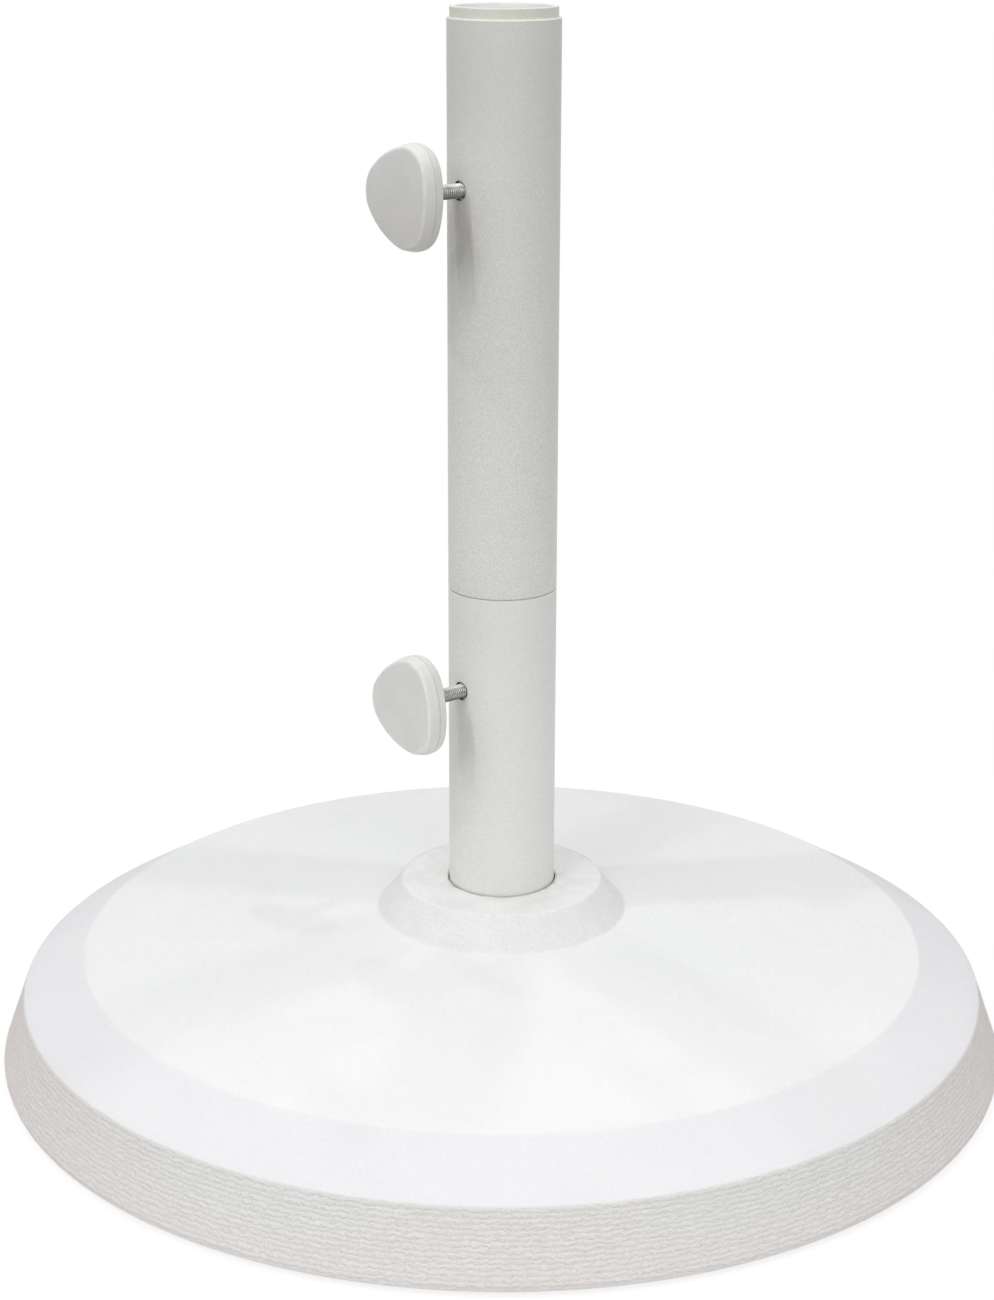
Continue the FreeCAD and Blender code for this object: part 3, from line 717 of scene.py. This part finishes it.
sleeve_outline, _ = rounded_outline([
    (pole_bore_r, sleeve_low_z, 0.0003, guide_step, "moulded"),
    (sleeve_r - 0.001, sleeve_low_z, 0.0003, guide_step, "moulded"),
    (sleeve_r, sleeve_low_z + 0.002, 0, guide_step, "moulded"),
    (sleeve_r, seam_z - flange_t, 0, 0.001, "moulded"),
    (sleeve_flange_r, seam_z - flange_t, 0.0001, 0.001, "moulded"),
    (sleeve_flange_r, seam_z - seam_gap, 0.0001, 0.001, "moulded"),
    (sleeve_collar_r, seam_z - seam_gap, 0, 0.001, "moulded"),
    (sleeve_collar_r, seam_z, 0, 0.001, "moulded"),
    (sleeve_r, seam_z, 0, guide_step, "moulded"),
    (sleeve_r, sleeve_high_z - 0.002, 0, guide_step, "moulded"),
    (sleeve_r - 0.001, sleeve_high_z, 0.0003, guide_step, "moulded"),
    (pole_bore_r + 0.001, sleeve_high_z, 0.0003, guide_step, "moulded"),
    (pole_bore_r, sleeve_high_z - 0.002, 0, guide_step, "moulded"),
])
sleeve_mesh = turned_mesh("sleeve_moulding", sleeve_outline, guide_segments)
sleeve_mesh.set_sharp_from_angle(angle=turned_sharp)
place_piece("sleeve_moulding", sleeve_mesh, ivory, "sleeve", "joint_sleeve")

bush_outline, _ = rounded_outline([
    (pole_bore_r, bush_low_z, 0.0003, guide_step, "moulded"),
    (bush_r, bush_low_z, 0.0008, guide_step, "moulded"),
    (bush_r, bush_high_z, 0.0008, 0.001, "moulded"),
    (bush_lip_r, bush_high_z, 0.0008, 0.002, "moulded"),
    (pole_bore_r, bush_flare_z, 0.004, guide_step, "moulded"),
])
bush_mesh = turned_mesh("bush_moulding", bush_outline, guide_segments)
bush_mesh.set_sharp_from_angle(angle=turned_sharp)
place_piece("bush_moulding", bush_mesh, ivory, "upper", "top_bush")

# ---------------------------------------------------------------------------- clamp knobs
# Moulded plastic knobs in two halves, a rounded triangle with a gently domed front: a rear
# shell that holds the screw's head, and a front cover snapped on at the parting line. Both
# walls lean in from that line by the draft of their moulds.
knob_corner_reach = 0.0293
knob_side_reach = 0.0252
knob_corner_r = 0.018
knob_depth = 0.013
knob_dome_rise = 0.0012
knob_front_edge = 0.0018
knob_rear_edge = 0.0026
knob_parting = 0.0057
knob_groove = 0.00035
knob_front_draft = math.radians(14)
knob_rear_draft = math.radians(5)
knob_turns = 240
knob_lobe = math.radians(120)
knob_sharp = math.radians(40)
knob_edge_rings = 10
knob_dome_rings = 16
knob_face_insets = (0.015, 0.006, knob_groove + 0.0003, knob_groove)
knob_ball = (knob_corner_reach ** 2 + knob_dome_rise ** 2) / (2 * knob_dome_rise)
# For each clamp: its height, its turn about the tube, how far the knob's back stands off the
# tube's wall, and how the knob is spun on its screw.
clamps = {
    "lower": {"height": lower_clamp_z, "turn": 0.0, "rear": 0.029, "spin": math.radians(67)},
    "upper": {"height": upper_clamp_z, "turn": upper_turn, "rear": 0.0284, "spin": math.radians(56)},
}


def knob_outline():
    """Points and outward directions round the triangle: corner and side arcs in turn."""
    corner_step = knob_corner_reach - knob_corner_r
    side_step = knob_side_reach - knob_corner_r
    centre_step = (corner_step ** 2 - side_step ** 2) / (2 * side_step - corner_step)
    side_r = knob_side_reach + centre_step
    half = math.atan2(centre_step * math.sin(knob_lobe / 2),
                      corner_step + centre_step * math.cos(knob_lobe / 2))
    points, directions = [], []
    for k in range(knob_turns):
        turn = 2 * math.pi * k / knob_turns
        corner = round(turn / knob_lobe) * knob_lobe
        if abs(turn - corner) <= half:
            centre, radius = Vector((math.cos(corner), math.sin(corner))) * corner_step, knob_corner_r
        else:
            side = (math.floor(turn / knob_lobe) + 0.5) * knob_lobe
            centre, radius = -Vector((math.cos(side), math.sin(side))) * centre_step, side_r
        direction = Vector((math.cos(turn), math.sin(turn)))
        points.append((centre + direction * radius)[:])
        directions.append(direction[:])
    return np.array(points), np.array(directions)


knob_edge, knob_outward = knob_outline()


def knob_edge_slack(spots):
    """How far inside the widest outline each point lies, seen from the front."""
    def turn_number(places):
        turn = np.arctan2(places[:, 1], places[:, 0]) / (2 * math.pi)
        return np.round(turn * knob_turns).astype(int) % knob_turns

    reach = np.zeros(knob_turns)
    reach[turn_number(knob_edge)] = np.hypot(knob_edge[:, 0], knob_edge[:, 1])
    filled = np.interp(np.arange(knob_turns), np.flatnonzero(reach), reach[reach > 0], period=knob_turns)
    return filled[turn_number(spots)] - np.hypot(spots[:, 0], spots[:, 1])


def knob_ring(inset, height):
    """Ring of points drawn in from the widest outline by an inset, at a height."""
    inset = np.broadcast_to(inset, (knob_turns,))
    height = np.broadcast_to(height, (knob_turns,))
    return np.column_stack([knob_edge - knob_outward * inset[:, None], height])


def dome_height(reach, under=0.0):
    """Height of the domed front, or of a surface evenly under it, at a distance out."""
    return knob_depth - knob_ball + np.sqrt((knob_ball - under) ** 2 - reach ** 2)


def knob_mesh(name, rings):
    """Closed form through rings of points, fanned shut at both ends. Vertices low in the
    parting groove are marked for dirt, and those on the front edge for wear and a painted
    highlight."""
    form = bmesh.new()
    grid = [[form.verts.new(p) for p in ring] for ring in rings]
    for one, two in zip(grid, grid[1:]):
        for k in range(knob_turns):
            after = (k + 1) % knob_turns
            form.faces.new((one[k], one[after], two[after], two[k]))
    for ring in (grid[0], grid[-1]):
        hub = form.verts.new(sum((v.co for v in ring), Vector()) / len(ring))
        for k in range(knob_turns):
            form.faces.new((hub, ring[k], ring[(k + 1) % knob_turns]))
    bmesh.ops.recalc_face_normals(form, faces=form.faces)
    mesh = bpy.data.meshes.new(name)
    form.to_mesh(mesh)
    form.free()
    mesh.shade_smooth()
    mesh.set_sharp_from_angle(angle=knob_sharp)
    spots = np.array([v.co[:] for v in mesh.vertices])
    brink = dome_height(np.hypot(spots[:, 0], spots[:, 1])) - spots[:, 2]
    slack = knob_edge_slack(spots)
    marks = {"seam_dirt": np.abs(spots[:, 2] - knob_parting) < 0.5 * knob_groove,
             "worn_and_highlit_edge": (brink < 0.55 * knob_front_edge) & (slack < 1.6 * knob_front_edge)}
    for label, marked in marks.items():
        mark_points(mesh, label, marked)
    return mesh


def cover_rings():
    """Front cover: open parting face, groove, leaning wall, rounded edge and dome. The edge's
    arc rolls under the dome and against the wall, and a few rounds settle its centre."""
    lean = math.tan(knob_front_draft)
    rings = [knob_ring(inset, knob_parting) for inset in knob_face_insets]
    rings.append(knob_ring(lean * knob_groove, knob_parting + knob_groove))
    arc_inset = np.full(knob_turns, knob_front_edge)
    for _ in range(6):
        reach = np.linalg.norm(knob_edge - knob_outward * arc_inset[:, None], axis=1)
        arc_height = dome_height(reach, knob_front_edge)
        arc_inset = knob_front_edge / math.cos(knob_front_draft) + lean * (arc_height - knob_parting)
    first, last = knob_front_draft, math.pi / 2 - np.arcsin(reach / (knob_ball - knob_front_edge))
    foot = arc_height + knob_front_edge * math.sin(first)
    for share in (0.15, 0.5, 0.85):
        height = knob_parting + knob_groove + (foot - knob_parting - knob_groove) * share
        rings.append(knob_ring(lean * (height - knob_parting), height))
    for share in np.linspace(0, 1, knob_edge_rings):
        swing = first + (last - first) * share
        rings.append(knob_ring(arc_inset - knob_front_edge * np.cos(swing),
                               arc_height + knob_front_edge * np.sin(swing)))
    rim = rings[-1][:, :2]
    for share in np.linspace(1, 0, knob_dome_rings)[1:-1]:
        rings.append(np.column_stack([rim * share, dome_height(np.linalg.norm(rim * share, axis=1))]))
    return rings


def shell_rings():
    """Rear shell: flat back, rounded edge, leaning wall, groove and parting face."""
    lean = math.tan(knob_rear_draft)
    arc_inset = knob_rear_edge / math.cos(knob_rear_draft) + lean * (knob_parting - knob_rear_edge)
    rings = [knob_ring(0, 0.0) * (share, share, 1) for share in (0.2, 0.45, 0.7, 0.85)]
    for swing in np.linspace(-math.pi / 2, -knob_rear_draft, knob_edge_rings):
        rings.append(knob_ring(arc_inset - knob_rear_edge * math.cos(swing),
                               knob_rear_edge + knob_rear_edge * math.sin(swing)))
    for height in (knob_parting - 0.0015, knob_parting - knob_groove):
        rings.append(knob_ring(lean * (knob_parting - height), height))
    rings += [knob_ring(inset, knob_parting) for inset in reversed(knob_face_insets)]
    return rings


# The upper knob is darker just under its screw's height, as painted shade.
knob_plastic = moulded_plastic("knob_plastic", (0.84, 0.835, 0.815), (0.79, 0.785, 0.76), 0.42, 800,
                               0.00012, shaded_below_z=upper_clamp_z)


def clamp_place(clamp, off_axis):
    """Where a clamp's piece goes that is built along +Z and starts this far off the axis."""
    return (clamp_matrix(clamp["height"], clamp["turn"]) @ Matrix.Translation((0, 0, off_axis))
            @ Matrix.Rotation(clamp["spin"], 4, "Z"))


for side, clamp in clamps.items():
    for half, rings, stands_for in (("_knob_cover", cover_rings(), "_knob_cap"),
                                    ("_knob_shell", shell_rings(), "_knob_body")):
        moulding = knob_mesh(side + half, rings)
        moulding.transform(clamp_place(clamp, tube_r + clamp["rear"]))
        place_piece(side + half, moulding, knob_plastic, side + "_knob", side + stands_for)

# ---------------------------------------------------------------------------- clamp screws
# Zinc-plated M8 hexagon screws held in the knobs. A rolled thread runs the whole shank,
# and a small pin at the tip carries the swivel pad.
thread_major = 0.008
thread_root = 0.0065
thread_pitch = 0.00125
thread_flat = 0.14
screw_chamfer = 0.0008
stud_below_knob = 0.0318
stud_into_knob = 0.003
head_flats = 0.013
head_height = 0.0053
pin_r = 0.0015
pin_length = 0.0014
pin_sides = 24
rows_per_turn = 8
points_round = 48
weld_distance = 0.000005
screw_sharp = math.radians(50)
zinc_dull = (0.52, 0.54, 0.50)
zinc_bright = (0.80, 0.82, 0.78)
groove_shade_dark = (0.03, 0.032, 0.028)
underside_shade_dark = (0.05, 0.048, 0.042)


def thread_tree():
    """Threaded rod along +Z, for any diameter, root, pitch and length, blunt at its start."""
    tree = bpy.data.node_groups.new("threaded_rod", "GeometryNodeTree")
    tree.interface.new_socket("Geometry", in_out="OUTPUT", socket_type="NodeSocketGeometry")
    for label, kind in (("Major Diameter", "NodeSocketFloat"), ("Root Diameter", "NodeSocketFloat"),
                        ("Pitch", "NodeSocketFloat"), ("Length", "NodeSocketFloat"),
                        ("Chamfer", "NodeSocketFloat"), ("Points Round", "NodeSocketInt"),
                        ("Rows Per Turn", "NodeSocketInt"), ("Finish", "NodeSocketMaterial")):
        tree.interface.new_socket(label, in_out="INPUT", socket_type=kind)
    add = node_adder(tree)

    def maths(operation, *values):
        return add("ShaderNodeMath", dict(enumerate(values)), operation=operation).outputs[0]

    given = add("NodeGroupInput").outputs
    turns = maths("DIVIDE", given["Length"], given["Pitch"])
    rows = maths("ADD", maths("ROUND", maths("MULTIPLY", turns, given["Rows Per Turn"])), 1.0)
    columns = maths("ADD", given["Points Round"], 1.0)
    sheet = add("GeometryNodeMeshGrid", {"Size X": 1.0, "Size Y": 1.0, "Vertices X": columns,
                                         "Vertices Y": rows})
    spot = add("ShaderNodeSeparateXYZ", {0: add("GeometryNodeInputPosition").outputs[0]}).outputs
    round_share = maths("ADD", spot["X"], 0.5)
    along = maths("MULTIPLY", maths("ADD", spot["Y"], 0.5), given["Length"])
    phase = maths("FRACT", maths("SUBTRACT", maths("DIVIDE", along, given["Pitch"]), round_share))
    flank = maths("MULTIPLY", maths("ABSOLUTE", maths("SUBTRACT", phase, 0.5)), 2.0)
    crest = add("ShaderNodeMapRange", {"Value": flank, "From Min": thread_flat, "From Max": 1 - thread_flat,
                                       "To Min": given["Root Diameter"], "To Max": given["Major Diameter"]})
    blunt = add("ShaderNodeMapRange", {"Value": along, "From Min": 0.0, "From Max": given["Chamfer"],
                                       "To Min": given["Root Diameter"], "To Max": given["Major Diameter"]})
    radius = maths("DIVIDE", maths("MINIMUM", crest.outputs[0], blunt.outputs[0]), 2.0)
    angle = maths("MULTIPLY", round_share, 2 * math.pi)
    place = add("ShaderNodeCombineXYZ", {"X": maths("MULTIPLY", radius, maths("COSINE", angle)),
                                         "Y": maths("MULTIPLY", radius, maths("SINE", angle)), "Z": along})
    wrapped = add("GeometryNodeSetPosition", {"Geometry": sheet.outputs["Mesh"],
                                              "Position": place.outputs[0]})
    closed = add("GeometryNodeMergeByDistance", {"Geometry": wrapped.outputs[0], "Distance": weld_distance})
    smooth = add("GeometryNodeSetShadeSmooth", {"Geometry": closed.outputs[0]})
    real = add("GeometryNodeRealizeInstances", {"Geometry": smooth.outputs[0]})
    finished = add("GeometryNodeSetMaterial", {"Geometry": real.outputs[0], "Material": given["Finish"]})
    add("NodeGroupOutput", {"Geometry": finished.outputs[0]})
    return tree


def grown_mesh(name, tree, values):
    """Plain mesh from a node tree, with its inputs given by name."""
    seed = bpy.data.objects.new(name, bpy.data.meshes.new(name))
    scene.collection.objects.link(seed)
    grow = seed.modifiers.new("grow", "NODES")
    grow.node_group = tree
    keys = {item.name: item.identifier for item in tree.interface.items_tree if item.in_out == "INPUT"}
    for label, value in values.items():
        grow[keys[label]] = value
    mesh = settled_mesh(seed)
    seed.modifiers.clear()
    bpy.data.objects.remove(seed)
    mesh.name = name
    return mesh


def zinc_plate():
    """Bright zinc gone dull in patches, with painted shade in a thread's grooves and on the underside below
    the clamp's height.
    """
    material, add = new_material("zinc_plate")
    _, grain, _, level, _, blend, bump = node_tools(add)
    tone = blend(level(grain(400, 3), 0.3, 0.7, 0, 1), zinc_dull, zinc_bright)
    # Painted shade: dark in the thread's grooves.
    tone = blend(level(mark(add, "groove"), 0.35, 1.0, 0, 0.85), tone, groove_shade_dark)
    # Painted shade: darker on the underside below the clamp's height.
    tone = blend(mark(add, "underside_shade"), tone, underside_shade_dark)
    brushed = bump(grain(1500, 2), 0.00005, 0.3)
    shader = add("ShaderNodeBsdfPrincipled", {"Base Color": tone, "Normal": brushed,
                                              "Roughness": level(grain(300), 0.3, 0.7, 0.28, 0.5),
                                              "Metallic": 1.0})
    add("ShaderNodeOutputMaterial", {"Surface": shader.outputs[0]})
    return material


zinc = zinc_plate()
rod_tree = thread_tree()


def screw_mesh(name):
    """Threaded shank with its pin and hexagon head, along +Z from the shoulder at zero."""
    shank_length = stud_below_knob + stud_into_knob
    rod = grown_mesh(name, rod_tree, {
        "Major Diameter": thread_major, "Root Diameter": thread_root, "Pitch": thread_pitch,
        "Length": shank_length, "Chamfer": screw_chamfer, "Points Round": points_round,
        "Rows Per Turn": rows_per_turn, "Finish": zinc})
    spots = np.array([v.co[:] for v in rod.vertices])
    sunk = (thread_major / 2 - np.hypot(spots[:, 0], spots[:, 1])) / (thread_major / 2 - thread_root / 2)
    mark_points(rod, "groove", sunk)
    form = bmesh.new()
    form.from_mesh(rod)
    bmesh.ops.holes_fill(form, edges=[e for e in form.edges if e.is_boundary], sides=0)
    head_r = head_flats / math.sqrt(3)
    for radius, low, high, sides, spin in (
            (pin_r, -pin_length, 0.0, pin_sides, 0),
            (head_r, shank_length, shank_length + head_height, 6, math.radians(30))):
        added = bmesh.ops.create_cone(form, cap_ends=True, segments=sides, radius1=radius, radius2=radius,
                                      depth=high - low)
        middle = Matrix.Translation((0, 0, (low + high) / 2))
        bmesh.ops.transform(form, verts=added["verts"], matrix=middle @ Matrix.Rotation(spin, 4, "Z"))
    bmesh.ops.recalc_face_normals(form, faces=form.faces)
    form.to_mesh(rod)
    form.free()
    rod.shade_smooth()
    rod.set_sharp_from_angle(angle=screw_sharp)
    return rod


# Painted shade: each screw darkens below its clamp's height.
shade_starts = 0.0005
shade_deepens = 0.0025
shade_most = 0.85
for side, clamp in clamps.items():
    screw = screw_mesh(side + "_clamp_screw")
    screw.transform(clamp_place(clamp, tube_r + clamp["rear"] - stud_below_knob))
    drop = clamp["height"] - np.array([v.co.z for v in screw.vertices])
    mark_points(screw, "underside_shade", np.clip((drop - shade_starts) / shade_deepens, 0.0, shade_most))
    place_piece(side + "_clamp_screw", screw, zinc, side + "_knob", side + "_clamp_stud")

# ------------------------------------------------------------------- steel parts left plain
# Nuts, washers, the anchor bolt and the end plate are zinc-plated steel pressings and
# screws, hidden in the tubes or in the recess under the plate.
def dress_solids(material, *names):
    """Gives a finish to CAD solids that stay as they are."""
    for name in names:
        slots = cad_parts[name].data.materials
        slots.clear()
        slots.append(material)


dress_solids(zinc, "tube_end_plate", "anchor_nut", "anchor_washer", "anchor_spring_washer", "anchor_bolt",
             "lower_clamp_nut", "upper_clamp_nut")

# -------------------------------------------------------------------- black moulded pieces
# The rest that the pole stands on and the swivel pads are black nylon; the pads under the
# plate are rubber discs glued into shallow pockets.
black_nylon = moulded_plastic("black_nylon", (0.035, 0.035, 0.036), (0.022, 0.022, 0.023), 0.5, 700, 0.0001)
foot_rubber = moulded_plastic("foot_rubber", (0.045, 0.044, 0.042), (0.03, 0.03, 0.03), 0.75, 400, 0.0003)
dress_solids(black_nylon, "pole_rest", "lower_thrust_pad", "upper_thrust_pad")
dress_solids(foot_rubber, "foot_pads")
